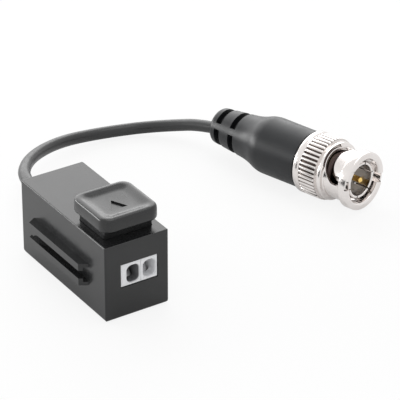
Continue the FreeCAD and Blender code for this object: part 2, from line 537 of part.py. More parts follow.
def write(name, shape):
    solids = shape.Solids
    if len(solids) == 1:
        shape = solids[0]
    print("%-20s solids %d valid %s volume %.2f" % (name, len(solids), shape.isValid(), shape.Volume))
    shape.exportStep("parts/%s.step" % name)


def main():
    wire = filleted_path(CABLE_POINTS)
    print("cable length %.1f" % wire.Length)
    write("housing", housing())
    write("base_cover", base_cover())
    write("button", button())
    write("return_spring", return_spring())
    seam = SEAM_GAP / 2
    write("terminal_left", terminal(BLOCK_X0, SEAM_X - seam, NOSE_X0, SEAM_X - seam, WAYS["left"]))
    write("terminal_right", terminal(SEAM_X + seam, BLOCK_X1, SEAM_X + seam, NOSE_X1, WAYS["right"]))
    for side, x in WAYS.items():
        write("contact_" + side, contact(x))
        write("clamp_spring_" + side, clamp_spring(x))
    write("circuit_board", circuit_board())
    write("transformer_core", ring_sector(CORE_RI, CORE_RO, CORE_Z0, CORE_Z0 + CORE_H, 0, 360))
    write("winding_primary", winding(-WIND_ARC / 2))
    write("winding_secondary", winding(180 - WIND_ARC / 2))
    write("surge_suppressor", surge_suppressor())
    write("chip_capacitor", chip(BOARD_REAR - 4.0, 0.85))
    write("chip_resistor", chip(BOARD_REAR - 1.8, 0.55))
    collar = rod(COLLAR_RO, (0, COLLAR_Y0, CABLE_Z), (0, COLLAR_Y1, CABLE_Z))
    hole = rod(CABLE_R + 0.02, (0, COLLAR_Y0 - 1, CABLE_Z), (0, COLLAR_Y1 + 1, CABLE_Z))
    write("cable_collar", collar.cut(hole))
    y = CABLE_POINTS[0][1] - 0.1
    write("cable_core", lead([(0.5, y, CABLE_Z), (0.5, y - 0.6, CABLE_Z - 0.02), (0.9, y - 1.9, CABLE_Z - 1.6),
                              (1.2, y - 2.4, BOARD_TOP)], 0.42))
    write("braid_tail", lead([(-0.55, y, CABLE_Z), (-0.55, y - 0.5, CABLE_Z - 0.05), (-0.3, y - 1.0, CABLE_Z - 1.6),
                              (-0.2, y - 1.2, BOARD_TOP)], 0.38))
    write("cable_jacket", swept(wire, CABLE_R))
    write("boot", boot(wire))
    write("crimp_ferrule", in_plug_frame(turned([(NECK_R + 0.05, 15.3), (2.4, 15.3), (2.4, 21.6),
                                                 (NECK_R + 0.05, 21.6)])))
    write("plug_body", plug_body())
    write("outer_contact", outer_contact())
    write("coupling_nut", coupling_nut())
    write("spring_washer", in_plug_frame(turned([(BODY_R + 0.06, 8.34), (BODY_R + 0.06, 8.62),
                                                 (COLLAR_R + 0.1, 9.56), (COLLAR_R + 0.1, 9.28)])))
    ring = turned([(BODY_R - 0.33, 11.15), (5.0, 11.15), (5.0, 11.7), (BODY_R - 0.33, 11.7)])
    write("retaining_ring", in_plug_frame(ring.cut(spun(box(3, 6, -0.9, 0.9, -13, -10), 250))))
    write("gasket", in_plug_frame(turned([(CONTACT_RO + 0.03, 6.15), (CONTACT_RO + 0.6, 6.15),
                                          (CONTACT_RO + 0.6, 6.87), (CONTACT_RO + 0.03, 6.87)])))
    fit, end = 0.03, CONTACT_END
    write("dielectric", in_plug_frame(turned([(0.93, 5.3), (CONTACT_RI - fit, 5.3), (CONTACT_RI - fit, end - fit),
                                              (BODY_BORE - fit, end - fit), (BODY_BORE - fit, 14.2), (0.93, 14.2)])))
    write("centre_pin", in_plug_frame(turned([(0, 0.9), (0.3, 0.95), (0.68, 1.5), (0.68, 5.2), (0.9, 5.2),
                                              (0.9, 17.0), (0, 17.0)])))


main()
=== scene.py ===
"""Looks of the passive video balun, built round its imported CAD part.

Named sizes and mesh code are in millimetres, the scene itself is in metres. A distance back is
measured from the plug's rim, along its axis.
"""
import json
import math

import bmesh
import bpy
from mathutils import Euler, Matrix, Vector


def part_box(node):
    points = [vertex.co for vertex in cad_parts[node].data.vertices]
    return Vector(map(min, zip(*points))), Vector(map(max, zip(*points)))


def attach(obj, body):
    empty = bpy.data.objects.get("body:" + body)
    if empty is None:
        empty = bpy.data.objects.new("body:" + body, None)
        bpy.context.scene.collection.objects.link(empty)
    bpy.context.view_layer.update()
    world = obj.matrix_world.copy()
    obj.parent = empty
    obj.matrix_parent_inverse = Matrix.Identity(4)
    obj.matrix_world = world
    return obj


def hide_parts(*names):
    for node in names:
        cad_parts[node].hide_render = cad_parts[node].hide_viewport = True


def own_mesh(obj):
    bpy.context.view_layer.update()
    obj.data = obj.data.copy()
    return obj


MM = 0.001
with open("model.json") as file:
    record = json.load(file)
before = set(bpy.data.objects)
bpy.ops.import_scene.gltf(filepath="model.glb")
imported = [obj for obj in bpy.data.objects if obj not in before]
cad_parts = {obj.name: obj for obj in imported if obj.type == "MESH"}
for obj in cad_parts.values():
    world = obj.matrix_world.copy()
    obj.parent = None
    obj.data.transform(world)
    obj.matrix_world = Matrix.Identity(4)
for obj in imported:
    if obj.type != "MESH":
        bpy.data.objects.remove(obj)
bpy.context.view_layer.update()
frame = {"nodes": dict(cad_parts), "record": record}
scene = bpy.context.scene

# Plug frame: Z to the mouth, X level to the left, origin at the rim
RIM = Vector((61.91, -8.34, 7.31))
AXIS = Vector((0.2552, -0.9666, 0.025)).normalized()
LEVEL = AXIS.cross(Vector((0, 0, 1))).normalized()
PLUG = Matrix.Translation(RIM) @ Matrix((LEVEL, AXIS.cross(LEVEL), AXIS)).transposed().to_4x4()

# Cable
CABLE_R = 1.35
CABLE_POINTS = [
    (0.0, 11.0, 8.0), (0.0, 29.0, 8.0), (6.94, 40.72, 6.0), (19.67, 49.45, 3.0),
    (32.44, 50.11, 1.5), (43.65, 45.78, 1.9), (51.27, 31.96, 6.27), (56.29, 12.93, 6.76),
]

# Button: a square cap with a dished top, on a hollow stem with two feet and two lugs
BUTTON_Y = -8.65
CAP_WIDTH, CAP_CORNER = 13.2, 2.3
CAP_Z0, CREASE_Z, CAP_TOP = 19.1, 21.15, 22.05
DISH = 0.56
DISH_FLOOR = CAP_TOP - DISH
ARROW = ((-0.3, -7.45), (-2.4, -11.0), (1.4, -10.95))
ARROW_DEPTH = 0.36
STEM_X, STEM_Y, STEM_CORNER = 11.2, 9.8, 0.5
STEM_Z0, STEM_CEILING, STEM_WALL = 14.2, 19.8, 1.3
HOLLOW_CORNER = 0.4
POCKET_R, TUBE_R = 2.1, 2.9
WAYS = (-0.85, 2.95)
FOOT_X, FEET_Y, FEET_Z = (0.5, 1.15), (-11.5, -10.7), 10.92
LUG_OUT, LUG_HALF, LUG_RISE = 0.35, 2.0, (0.1, 1.56)

# Rows of the cap's skin, each with how much narrower than CAP_WIDTH it is. The side goes by its height
# over CAP_Z0, the crown by its share of the way from crease to top, the dish by its share of DISH.
CAP_SIDE = ((0.0, 0.4), (0.08, 0.22), (0.2, 0.08), (0.4, 0.0))
CAP_CROWN = ((0.0, 0.03), (0.15, 0.06), (0.35, 0.12), (0.52, 0.2), (0.66, 0.33), (0.78, 0.52),
             (0.88, 0.8), (0.955, 1.2), (1.0, 1.7))
CAP_DISH = ((0.985, 2.0), (0.93, 2.35), (0.83, 2.75), (0.69, 3.2), (0.52, 3.7), (0.35, 4.25),
            (0.2, 4.85), (0.08, 5.5), (0.0, 6.3))

# Springs under the button: the coil's ends lie COIL_END off its seats, the leaf LEAF_GAP off the floor
BLOCK_TOP, CHAMBER_FLOOR = 12.9, 5.6
COIL_R, COIL_WIRE_R, COIL_TURNS, COIL_END = 1.55, 0.2, 6, 0.22
LEAF_THICK, LEAF_BEND_R, LEAF_GAP = 0.25, 1.0, 0.02
LEAF_END_Y, LEAF_BEND_Y, LEAF_TOP = -9.5, -12.9, 10.78
LEAF_RISE = math.radians(48)

# Coupling nut: its radii, where the knurl lies, and how deep the points across one groove are
NUT_BORE, FLANGE_R, WAIST_R, RING_R, KNURL_R = 4.9, 6.45, 5.6, 6.5, 6.95
KNURL_START, KNURL_END, NUT_LENGTH = 8.55, 12.8, 14.5
GROOVES = 44
GROOVE = (0.0, 0.0, 0.04, 0.24, 0.34, 0.34, 0.24, 0.04, 0.0)

# Bayonet slots: middle line as (angle, distance back), and their keyways
BAYONET_PATH = ((12, 4.4), (25, 5.45), (40, 6.1), (60, 6.4), (80, 6.4), (95, 6.0), (103, 5.7))
BAYONET_HALF, BAYONET_REF_R = 1.05, 5.25
KEYWAY_INNER, KEYWAY_R, NOTCH_R, NOTCH_DEPTH = 3.9, 6.0, 8.0, 0.45

# Slits of the contact ring, and the angle of the first one
SLITS, SLIT_HALF, SLIT_DEPTH, FIRST_SLIT = 6, 0.15, 5.0, 50

# Boot: SHOULDER has two arcs as (first slope, last slope, radius), BOOT_SLOTS its rows of slots as
# (distance back, radius of their floor), and a bridge is left in each row on two sides
GRIP_R, GRIP_END = 6.48, 25.4
BOOT_FRONT, BOOT_FACE, BOOT_END = 12.3, 14.9, 41.0
BOOT_CUP_R, BOOT_BORE = 5.15, 0.4
SHOULDER = ((0.0, 21.5, 7.0), (21.5, 6.0, 17.0))
TAPER = math.radians(6.0)
BOOT_SLOTS = ((34.2, 3.3), (38.6, 2.95))
SLOT_HALF, SLOT_EASE = 0.7, 0.12
BRIDGE_HALF, BRIDGE_AT = 0.8, 27.0

# Soft edges of the darkened places, each from one radius, distance back, X or Y to another, and the
# share of the brownish tarnish in the contact ring's bore. The gap round the ring, the knurl's grooves
# and the left wire entry are darkened as painted shade.
CONTACT_BORE, CONTACT_STAIN = (3.46, 3.58), 0.28
GAP_INNER, GAP_OUTER, GAP_FRONT = (3.7, 3.9), (4.92, 5.05), (4.1, 4.6)
GROOVE_FLOOR, GROOVE_FRONT, GROOVE_REAR = (6.64, 6.86), (8.5, 8.6), (12.82, 12.95)
ENTRY_SIDE, ENTRY_FACE = (0.98, 1.04), (-16.32, -16.1)

# Camera and lamps, in metres and degrees, and the paper
CAMERA_PLACE = Vector((-0.220457, -0.377252, 0.266061))
CAMERA_TURN = (60.3854, -0.1531, -33.0269)
CAMERA_LENS = 225.0
LIT_POINT = Vector((0.02, 0.01, 0.01))
LAMPS = {
    "back_right": dict(place=(0.24, 0.82, 0.46), wide=1.3, high=0.84, power=6.9),
    "back_left": dict(place=(-0.62, 0.72, 0.15), wide=0.6, high=0.3, power=5.2),
    "overhead": dict(place=(0.2, -0.05, 0.95), wide=0.6, high=0.5, power=1.6),
}
FLOOR_HALF, FLOOR_Z = 1.5, -0.05 * MM
FLOOR_SEEN, FLOOR_IN_METAL = 0.85, 0.25
WHITE, PAPER, ROOM = (1, 1, 1, 1), (0.9, 0.9, 0.9, 1), (0.6, 0.6, 0.6, 1)


# Materials

class Graph:
    """Shader nodes of one material or of the world, made and linked by short calls."""

    def __init__(self, tree):
        self.nodes = tree.nodes
        self.links = tree.links

    def feed(self, socket, value):
        """Link the socket to an output, or set it where the value is a number, a vector or a colour."""
        if isinstance(value, bpy.types.NodeSocket):
            self.links.new(value, socket)
        else:
            socket.default_value = value

    def fill(self, node, **inputs):
        """Feed a node's inputs by name, with an underscore for each space."""
        for name, value in inputs.items():
            self.feed(node.inputs[name.replace("_", " ")], value)

    def noise(self, place, scale, detail, rough=0.5):
        node = self.nodes.new("ShaderNodeTexNoise")
        self.fill(node, Vector=place, Scale=scale, Detail=detail, Roughness=rough)
        return node.outputs["Fac"]

    def line_noise(self, along, scale, detail):
        """Noise that changes in one direction only."""
        node = self.nodes.new("ShaderNodeTexNoise")
        node.noise_dimensions = "1D"
        self.fill(node, W=along, Scale=scale, Detail=detail)
        return node.outputs["Fac"]

    def remap(self, value, low, high, start=0.3, end=0.7):
        node = self.nodes.new("ShaderNodeMapRange")
        self.fill(node, Value=value, From_Min=start, From_Max=end, To_Min=low, To_Max=high)
        return node.outputs["Result"]

    def above(self, distance, edge):
        """0 short of the edge and 1 beyond it."""
        return self.remap(distance, 0, 1, edge[0] * MM, edge[1] * MM)

    def below(self, distance, edge, most=1):
        """The most short of the edge and 0 beyond it."""
        return self.remap(distance, most, 0, edge[0] * MM, edge[1] * MM)

    def mixed(self, factor, a, b):
        node = self.nodes.new("ShaderNodeMix")
        node.data_type = "RGBA"
        self.fill(node, Factor=factor, A=a, B=b)
        return node.outputs["Result"]

    def bumped(self, height, strength, depth, **under):
        """Normal bumped to that depth in mm; another one that it lies over is given as Normal."""
        node = self.nodes.new("ShaderNodeBump")
        self.fill(node, Height=height, Strength=strength, Distance=depth * MM, **under)
        return node.outputs["Normal"]

    def vector_math(self, operation, a, b=None):
        node = self.nodes.new("ShaderNodeVectorMath")
        node.operation = operation
        self.feed(node.inputs[0], a)
        if b is not None:
            self.feed(node.inputs[1], b)
        return node.outputs["Value" if operation in ("DOT_PRODUCT", "LENGTH") else "Vector"]

    def number_math(self, operation, result, *others):
        """The operation carried on through all the values."""
        for other in others:
            node = self.nodes.new("ShaderNodeMath")
            node.operation = operation
            self.feed(node.inputs[0], result)
            self.feed(node.inputs[1], other)
            result = node.outputs[0]
        return result

    def lit_and_seen(self, share, lit, seen, output):
        """Surface that lights as one shader and, by that share, is seen as the other."""
        node = self.nodes.new("ShaderNodeMixShader")
        for socket, value in zip(node.inputs, (share, lit.outputs[0], seen.outputs[0])):
            self.feed(socket, value)
        self.fill(self.nodes[output], Surface=node.outputs[0])


def tarnish_and_painted_shade(graph, place):
    """Painted shade, 1 in the gap round the contact ring and in the knurl's grooves; tarnish, less, in the
    ring's bore; else 0.
    """
    offset = graph.vector_math("SUBTRACT", place, RIM * MM)
    back = graph.vector_math("DOT_PRODUCT", offset, -AXIS)
    out = graph.vector_math("LENGTH", graph.vector_math("CROSS_PRODUCT", offset, AXIS))
    in_ring = graph.below(out, CONTACT_BORE, CONTACT_STAIN)
    # painted shade in the gap between contact ring and nut and in the knurl's grooves
    shade_in_gap = graph.number_math("MULTIPLY", graph.above(out, GAP_INNER), graph.below(out, GAP_OUTER),
                               graph.above(back, GAP_FRONT))
    shade_in_groove = graph.number_math("MULTIPLY", graph.above(back, GROOVE_FRONT),
                                  graph.below(back, GROOVE_REAR), graph.below(out, GROOVE_FLOOR))
    return graph.number_math("MAXIMUM", in_ring, shade_in_gap, shade_in_groove)


def left_entry_shade(graph, place):
    """Painted shade, 1 inside the left wire entry, 0 on the face and in the right one."""
    side = graph.vector_math("DOT_PRODUCT", place, (1, 0, 0))
    deep = graph.vector_math("DOT_PRODUCT", place, (0, 1, 0))
    return graph.number_math("MULTIPLY", graph.below(side, ENTRY_SIDE), graph.above(deep, ENTRY_FACE))


def new_material(name):
    mat = bpy.data.materials.new(name)
    mat.use_nodes = True
    return mat, Graph(mat.node_tree)


def shaded(name, dark, light, rough, grain, grain_depth, metallic=0.0, specular=0.5, lathe=None,
           tarnish_and_shade_colour=None, where=tarnish_and_painted_shade):
    """Colour between dark and light in soft patches, roughness that wanders, and a fine surface grain.

    grain is the size and grain_depth the depth of the grain in mm, lathe the spacing in mm of tool rings
    round the plug's axis, tarnish_and_shade_colour the colour of the tarnish and painted shade in the
    places that where picks out.
    """
    patches, wander, mark_depth = 120.0, 396.0, 0.002
    mat, graph = new_material(name)
    place = graph.nodes.new("ShaderNodeTexCoord").outputs["Object"]
    colour = graph.mixed(graph.remap(graph.noise(place, patches, 3.0), 0, 1), (*dark, 1), (*light, 1))
    # tarnish and painted shade mixed into the colour where the mask picks out
    if tarnish_and_shade_colour:
        colour = graph.mixed(where(graph, place), colour, (*tarnish_and_shade_colour, 1))
    normal = graph.bumped(graph.noise(place, 1 / (grain * MM), 4.0, 0.6), 0.6, grain_depth)
    if lathe:
        rings = graph.line_noise(graph.vector_math("DOT_PRODUCT", place, AXIS), 1 / (lathe * MM), 3.0)
        normal = graph.bumped(rings, 0.4, mark_depth, Normal=normal)
    roughness = graph.remap(graph.noise(place, wander, 4.0), *rough)
    graph.fill(graph.nodes["Principled BSDF"], Base_Color=colour, Roughness=roughness, Normal=normal,
               Metallic=metallic, Specular_IOR_Level=specular)
    return mat


# Colours are linear, and grain, grain_depth and lathe are in mm
SURFACES = {
    "black_shell": dict(dark=(0.011, 0.0115, 0.012), light=(0.016, 0.0165, 0.017), rough=(0.2, 0.27),
                        grain=0.4, grain_depth=0.0008),
    "black_button": dict(dark=(0.012, 0.0125, 0.013), light=(0.018, 0.0185, 0.019), rough=(0.22, 0.29),
                         grain=0.4, grain_depth=0.001),
    # inside of the left wire entry darkened as painted shade
    "white_nylon": dict(dark=(0.86, 0.865, 0.885), light=(0.89, 0.895, 0.91), rough=(0.38, 0.5),
                        grain=0.3, grain_depth=0.004, tarnish_and_shade_colour=(0.2, 0.202, 0.215), where=left_entry_shade),
    "tinned_brass": dict(dark=(0.62, 0.6, 0.55), light=(0.72, 0.7, 0.65), rough=(0.25, 0.4),
                         grain=0.2, grain_depth=0.004, metallic=1.0),
    "spring_steel": dict(dark=(0.5, 0.5, 0.51), light=(0.62, 0.62, 0.63), rough=(0.2, 0.32),
                         grain=0.1, grain_depth=0.003, metallic=1.0),
    "board_green": dict(dark=(0.02, 0.13, 0.05), light=(0.035, 0.19, 0.08), rough=(0.25, 0.4),
                        grain=0.5, grain_depth=0.004),
    "ferrite": dict(dark=(0.06, 0.058, 0.058), light=(0.1, 0.097, 0.095), rough=(0.6, 0.8),
                    grain=0.15, grain_depth=0.015),
    "enamelled_wire": dict(dark=(0.5, 0.2, 0.07), light=(0.66, 0.3, 0.12), rough=(0.2, 0.35),
                           grain=0.25, grain_depth=0.02, metallic=0.9),
    "package_black": dict(dark=(0.03, 0.03, 0.03), light=(0.045, 0.045, 0.045), rough=(0.5, 0.65),
                          grain=0.1, grain_depth=0.008),
    "capacitor_tan": dict(dark=(0.5, 0.37, 0.24), light=(0.58, 0.45, 0.3), rough=(0.45, 0.6),
                          grain=0.1, grain_depth=0.004),
    "cable_black": dict(dark=(0.016, 0.0165, 0.017), light=(0.023, 0.0235, 0.024), rough=(0.3, 0.4),
                        grain=0.3, grain_depth=0.003),
    "boot_black": dict(dark=(0.007, 0.008, 0.0095), light=(0.011, 0.012, 0.0135), rough=(0.32, 0.41),
                       grain=0.3, grain_depth=0.003, specular=0.36),
    "insulation_white": dict(dark=(0.78, 0.77, 0.74), light=(0.85, 0.84, 0.81), rough=(0.4, 0.5),
                             grain=0.3, grain_depth=0.004),
    # brownish tarnish in the contact ring's bore; painted shade in the gap round the ring and in the
    # knurl's grooves
    "nickel_plate": dict(dark=(0.76, 0.72, 0.7), light=(0.83, 0.795, 0.775), rough=(0.14, 0.22),
                         grain=0.4, grain_depth=0.001, metallic=1.0, lathe=0.12,
                         tarnish_and_shade_colour=(0.09, 0.07, 0.058)),
    "gasket_rubber": dict(dark=(0.05, 0.03, 0.027), light=(0.08, 0.05, 0.045), rough=(0.6, 0.75),
                          grain=0.2, grain_depth=0.01),
    "gold_plate": dict(dark=(0.82, 0.55, 0.16), light=(0.9, 0.64, 0.24), rough=(0.15, 0.25),
                       grain=0.3, grain_depth=0.002, metallic=1.0, lathe=0.1),
}
MATERIALS = {name: shaded(name, **surface) for name, surface in SURFACES.items()}


# Mesh tools

def finished(name, mesh, slot, body, node, sharp=32.0):
    """Object from a mesh in metres: outward faces, smooth shading, its material, body and CAD node."""
    weld = 1e-7
    bm = bmesh.new()
    bm.from_mesh(mesh)
    bmesh.ops.remove_doubles(bm, verts=bm.verts, dist=weld)
    bmesh.ops.recalc_face_normals(bm, faces=bm.faces)
    bm.to_mesh(mesh)
    bm.free()
    mesh.shade_smooth()
    mesh.set_sharp_from_angle(angle=math.radians(sharp))
    mesh.materials.clear()
    mesh.materials.append(MATERIALS[slot])
    piece = bpy.data.objects.new(name, mesh)
    scene.collection.objects.link(piece)
    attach(piece, body)
    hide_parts(node)
    return piece


def mesh_piece(name, verts, faces, slot, body, node, place=Matrix(), sharp=32.0):
    """The same from points in millimetres, in the frame that place stands for."""
    mesh = bpy.data.meshes.new(name)
    mesh.from_pydata([(place @ Vector(v)) * MM for v in verts], [], faces)
    return finished(name, mesh, slot, body, node, sharp)


def scratch(name, verts, faces):
    """Solid in millimetres that takes part in a carving and is deleted with it."""
    mesh = bpy.data.meshes.new(name)
    mesh.from_pydata(verts, [], faces)
    bm = bmesh.new()
    bm.from_mesh(mesh)
    bmesh.ops.triangulate(bm, faces=[face for face in bm.faces if len(face.verts) > 4])
    bmesh.ops.recalc_face_normals(bm, faces=bm.faces)
    bm.to_mesh(mesh)
    bm.free()
    solid = bpy.data.objects.new(name, mesh)
    scene.collection.objects.link(solid)
    return solid


def cut(name, verts, faces):
    """Step of a carving that takes this solid away."""
    return "DIFFERENCE", scratch(name, verts, faces)


def join(name, verts, faces):
    """Step of a carving that adds this solid."""
    return "UNION", scratch(name, verts, faces)


def carve(verts, faces, steps, place=Matrix()):
    """Mesh in metres of a solid after its cuts and joins, all in the millimetre frame of place."""
    solid = scratch("uncut", verts, faces)
    for operation, tool in steps:
        modifier = solid.modifiers.new(tool.name, "BOOLEAN")
        modifier.operation = operation
        modifier.solver = "EXACT"
        modifier.object = tool
    bpy.context.view_layer.update()
    carved = solid.evaluated_get(bpy.context.evaluated_depsgraph_get())
    mesh = bpy.data.meshes.new_from_object(carved)
    for used in (solid, *(tool for _, tool in steps)):
        bpy.data.objects.remove(used)
    mesh.transform(Matrix.Scale(MM, 4) @ place)
    return mesh


def softened(points, length, steps=3, closed=True):
    """Outline with each corner eased over that length, or over most of half a short side."""
    out, most = [], 0.45
    for i, point in enumerate(points):
        if not closed and i in (0, len(points) - 1):
            out.append(point)
            continue
        corner = Vector(point)
        before = Vector(points[i - 1]) - corner
        after = Vector(points[(i + 1) % len(points)]) - corner
        start = corner + before.normalized() * min(length, most * before.length)
        end = corner + after.normalized() * min(length, most * after.length)
        for k in range(steps + 1):
            t = k / steps
            out.append(tuple(start * (1 - t) ** 2 + corner * (2 * t * (1 - t)) + end * t ** 2))
    return out


def turned(outline, count, radius=None):
    """Closed (radius, distance back) outline turned about the plug's axis.

    radius may change a point's own: it is called with radius, distance back and the number of the row.
    """
    verts, faces, n = [], [], len(outline)
    for i in range(count):
        angle = 2 * math.pi * i / count
        for r, s in outline:
            if radius:
                r = radius(r, s, i)
            verts.append((r * math.cos(angle), r * math.sin(angle), -s))
        j = (i + 1) % count
        for k in range(n):
            m = (k + 1) % n
            faces.append((i * n + k, j * n + k, j * n + m, i * n + m))
    return verts, faces


def turned_rod(outline, count):
    """Open (radius, distance back) outline, from the plug's axis back to it, turned into a solid."""
    verts = [(0, 0, -outline[0][1]), (0, 0, -outline[-1][1])]
    row, faces = outline[1:-1], []
    n = len(row)
    for i in range(count):
        angle = 2 * math.pi * i / count
        verts += [(r * math.cos(angle), r * math.sin(angle), -s) for r, s in row]
        p, q = 2 + i * n, 2 + (i + 1) % count * n
        faces += [(p + k, q + k, q + k + 1, p + k + 1) for k in range(n - 1)]
        faces += [(0, q, p), (1, p + n - 1, q + n - 1)]
    return verts, faces


def skinned(rings):
    """Closed skin over rings of equally many points, with a face over the first and over the last."""
    n = len(rings[0])
    verts = [point for ring in rings for point in ring]
    faces = [(i * n + k, i * n + (k + 1) % n, (i + 1) * n + (k + 1) % n, (i + 1) * n + k)
             for i in range(len(rings) - 1) for k in range(n)]
    faces.append(tuple(reversed(range(n))))
    faces.append(tuple(range(len(verts) - n, len(verts))))
    return verts, faces


def prism(outline, z0, z1):
    return skinned([[(x, y, z) for x, y in outline] for z in (z0, z1)])


def rod(y, radius, z0, z1, count=64):
    angles = [2 * math.pi * k / count for k in range(count)]
    return prism([(radius * math.cos(a), y + radius * math.sin(a)) for a in angles], z0, z1)


def box(x0, x1, y0, y1, z0, z1):
    verts = [(x, y, z) for x in (x0, x1) for y in (y0, y1) for z in (z0, z1)]
    return verts, [(0, 1, 3, 2), (4, 6, 7, 5), (0, 4, 5, 1), (2, 3, 7, 6), (0, 2, 6, 4), (1, 5, 7, 3)]


def directions(line):
    """Direction of the line at each of its points."""
    last = len(line) - 1
    return [(line[min(i + 1, last)] - line[max(i - 1, 0)]).normalized() for i in range(last + 1)]


def tube(path, radius, count):
    """Closed tube along the path; rings keep their turn from one point to the next."""
    angles = [2 * math.pi * k / count for k in range(count)]
    rings, side = [], None
    for point, ahead in zip(path, directions(path)):
        side = (side - ahead * side.dot(ahead)).normalized() if side else ahead.orthogonal().normalized()
        up = ahead.cross(side)
        rings.append([tuple(point + (side * math.cos(a) + up * math.sin(a)) * radius) for a in angles])
    return skinned(rings)


def strip(line, x0, x1, thick):
    """Flat strip from x0 to x1 whose middle follows the line in Y and Z, with eased long edges."""
    ease, flat = thick * 0.3, 0.4
    edges = ((x0 + ease, 1), (x0, flat), (x0, -flat), (x0 + ease, -1),
             (x1 - ease, -1), (x1, -flat), (x1, flat), (x1 - ease, 1))
    rings = []
    for point, ahead in zip(line, directions(line)):
        normal = Vector((0, -ahead.z, ahead.y)) * thick / 2
        rings.append([(x, *(point + normal * share).yz) for x, share in edges])
    return skinned(rings)


# Button and springs

def rounded_ring(z, wide, long, radius, steps=8, edge=6):
    """Points of a rounded rectangle about the button's axis, anticlockwise from its lower right corner."""
    x, y = wide / 2 - radius, long / 2 - radius
    arcs = []
    for middle_x, middle_y, start in ((x, -y, -90), (x, y, 0), (-x, y, 90), (-x, -y, 180)):
        angles = [math.radians(start + 90 * k / steps) for k in range(steps + 1)]
        arcs.append([(middle_x + radius * math.cos(a), middle_y + radius * math.sin(a)) for a in angles])
    points = []
    for arc, following in zip(arcs, arcs[1:] + arcs[:1]):
        (x0, y0), (x1, y1) = arc[-1], following[0]
        points += arc
        points += [(x0 + (x1 - x0) * k / edge, y0 + (y1 - y0) * k / edge) for k in range(1, edge)]
    return [(x, BUTTON_Y + y, z) for x, y in points]


def cap_ring(z, less, rounder=0.5):
    return rounded_ring(z, CAP_WIDTH - less, CAP_WIDTH - less, CAP_CORNER - less * rounder)


def button_skin():
    """Outside of stem and cap, up over the crown and down to the floor of the dish.

    The stem is eased at its foot, and a row close under the cap and the crease keeps their edges crisp.
    """
    rings = [rounded_ring(z, STEM_X - less, STEM_Y - less, STEM_CORNER) for z, less in
             ((STEM_Z0, 0.2), (STEM_Z0 + 0.1, 0.0), (CAP_Z0 - 0.12, 0.0), (CAP_Z0, 0.0))]
    rings += [cap_ring(CAP_Z0 + up, less) for up, less in CAP_SIDE]
    rings.append(cap_ring(CREASE_Z - 0.05, 0.0))
    rings += [cap_ring(CREASE_Z + share * (CAP_TOP - CREASE_Z), less) for share, less in CAP_CROWN]
    rings += [cap_ring(DISH_FLOOR + share * DISH, less, 0.25) for share, less in CAP_DISH]
    return skinned(rings)


def make_button():
    """Cap and stem in one moulding, hollow inside, with the spring's tube, a web, feet and lugs.

    What is joined on reaches a little way into the wall, roof or web that it stands on.
    """
    under = STEM_Z0 - 1
    inside = [rounded_ring(z, STEM_X - 2 * STEM_WALL, STEM_Y - 2 * STEM_WALL, HOLLOW_CORNER)
              for z in (under, STEM_CEILING)]
    low, in_roof = STEM_Z0 + 0.02, STEM_CEILING + 0.05
    web_x = STEM_X / 2 - STEM_WALL + 0.1
    lug_x = (STEM_X / 2 - 0.2, STEM_X / 2 + LUG_OUT)
    lug_yz = (BUTTON_Y - LUG_HALF, BUTTON_Y + LUG_HALF, STEM_Z0 + LUG_RISE[0], STEM_Z0 + LUG_RISE[1])
    steps = [
        cut("arrow", *prism(ARROW, DISH_FLOOR - ARROW_DEPTH, DISH_FLOOR + 1)),
        cut("hollow", *skinned(inside)),
        join("spring_tube", *rod(BUTTON_Y, TUBE_R, low, in_roof)),
        join("web", *box(-web_x, web_x, FEET_Y[0] - 0.3, FEET_Y[1] + 0.2, low, in_roof)),
        cut("pocket", *rod(BUTTON_Y, POCKET_R, under, STEM_CEILING)),
    ]
    steps += [join("foot", *box(way + FOOT_X[0], way + FOOT_X[1], *FEET_Y, FEET_Z, STEM_Z0 + 0.5))
              for way in WAYS]
    steps += [join("lug", *box(*sorted(side * x for x in lug_x), *lug_yz)) for side in (-1, 1)]
    mesh = carve(*button_skin(), steps)
    finished("push_button", mesh, "black_button", "button", "button", 28.0)


def make_return_coil():
    """Return spring from the block to the stem's ceiling; the mesh keeps one length and does not shorten
    with the button.
    """
    z0, z1 = BLOCK_TOP + COIL_END, STEM_CEILING - COIL_END
    steps = 24
    path = []
    for k in range(steps * COIL_TURNS + 1):
        angle = 2 * math.pi * k / steps
        path.append(Vector((COIL_R * math.cos(angle), BUTTON_Y + COIL_R * math.sin(angle),
                            z0 + (z1 - z0) * k / (steps * COIL_TURNS))))
    coil = mesh_piece("return_coil", *tube(path, COIL_WIRE_R, 10), "spring_steel", "balun", "return_spring")
    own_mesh(coil)


def make_clamp_leaf(side):
    """Bent strip that lies on the chamber's floor and rises to the button's foot, which pushes it down."""
    node = "clamp_spring_" + side
    low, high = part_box(node)
    bend_z = CHAMBER_FLOOR + LEAF_GAP + LEAF_THICK / 2 + LEAF_BEND_R
    line = [Vector((0, LEAF_END_Y, bend_z - LEAF_BEND_R))]
    for k in range(13):
        angle = math.radians(270) - (math.radians(180) - LEAF_RISE) * k / 12
        line.append(Vector((0, LEAF_BEND_Y + LEAF_BEND_R * math.cos(angle),
                            bend_z + LEAF_BEND_R * math.sin(angle))))
    run = (LEAF_TOP - line[-1].z) / math.sin(LEAF_RISE)
    line.append(line[-1] + Vector((0, math.cos(LEAF_RISE), math.sin(LEAF_RISE))) * run)
    leaf = mesh_piece("clamp_leaf_" + side, *strip(line, low.x / MM, high.x / MM, LEAF_THICK),
                      "spring_steel", "balun", node)
    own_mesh(leaf)


# Plug

